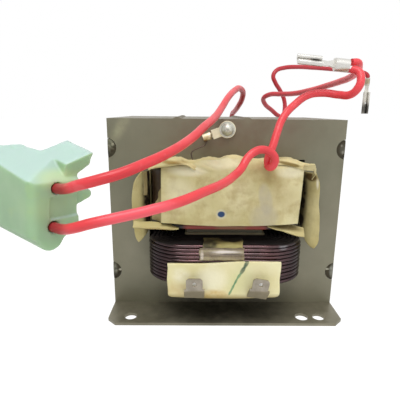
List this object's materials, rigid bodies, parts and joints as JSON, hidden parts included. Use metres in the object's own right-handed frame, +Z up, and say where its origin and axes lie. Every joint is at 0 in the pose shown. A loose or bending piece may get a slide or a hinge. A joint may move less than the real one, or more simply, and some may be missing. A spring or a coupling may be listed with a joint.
{
  "type": "microwave oven transformer",
  "caption": "Laminated shell-core transformer on a flanged base plate, with an open primary coil, a paper-wrapped secondary, quick-connect tabs and insulated red leads to a nylon connector.",
  "frame": {"origin": "middle of the underside of the base plate", "axes": "+X to the right seen from the tab side, +Y from the tab side to the back, +Z up"},
  "size_m": [0.193, 0.1856, 0.1147],
  "materials": {
    "core_steel": "varnish-dipped silicon steel laminations, satin",
    "weld_metal": "varnished weld bead, satin",
    "plate_steel": "varnish-dipped steel sheet, satin",
    "shunt_steel": "dark varnished steel",
    "enamelled_wire": "dark enamel on magnet wire, glossy",
    "insulation_card": "cream pressboard, varnish-stained",
    "insulation_paper": "cream insulation paper, creased and varnish-stained",
    "clear_tape": "yellowed clear tape",
    "varnished_winding": "dark varnish over fine wire",
    "tinned_brass": "dull tinned brass",
    "bright_steel": "bright tin-plated steel",
    "contact_brass": "plain brass",
    "nylon": "pale green natural nylon, slightly translucent",
    "lead_insulation": "red silicone rubber, satin"
  },
  "bodies": {
    "root": {"core_e_stack": "core_steel", "core_i_stack": "core_steel", "side_welds": "weld_metal", "top_welds": "weld_metal", "base_plate": "plate_steel", "shunt_left": "shunt_steel", "shunt_right": "shunt_steel", "primary_liner": "insulation_paper", "primary_winding": "enamelled_wire", "primary_pad": "insulation_card", "primary_tab_left": "tinned_brass", "primary_tab_right": "tinned_brass", "primary_tape": "clear_tape", "secondary_liner": "insulation_paper", "secondary_winding": "varnished_winding", "filament_winding": "lead_insulation", "front_panel_paper": "insulation_paper", "rear_panel_paper": "insulation_paper", "front_top_paper": "insulation_paper", "rear_top_paper": "insulation_paper", "slot_liner_left": "insulation_paper", "slot_liner_right": "insulation_paper", "front_flap_left": "insulation_paper", "front_flap_right": "insulation_paper", "ground_rivet": "bright_steel", "ground_lug": "bright_steel", "ground_wire": "enamelled_wire", "connector_housing": "nylon", "contact_upper": "contact_brass", "contact_lower": "contact_brass", "capacitor_terminal": "bright_steel", "jumper_terminal": "bright_steel", "filament_lead_upper": "lead_insulation", "filament_lead_lower": "lead_insulation", "high_voltage_lead": "lead_insulation", "jumper_lead": "lead_insulation"}
  },
  "joints": []
}
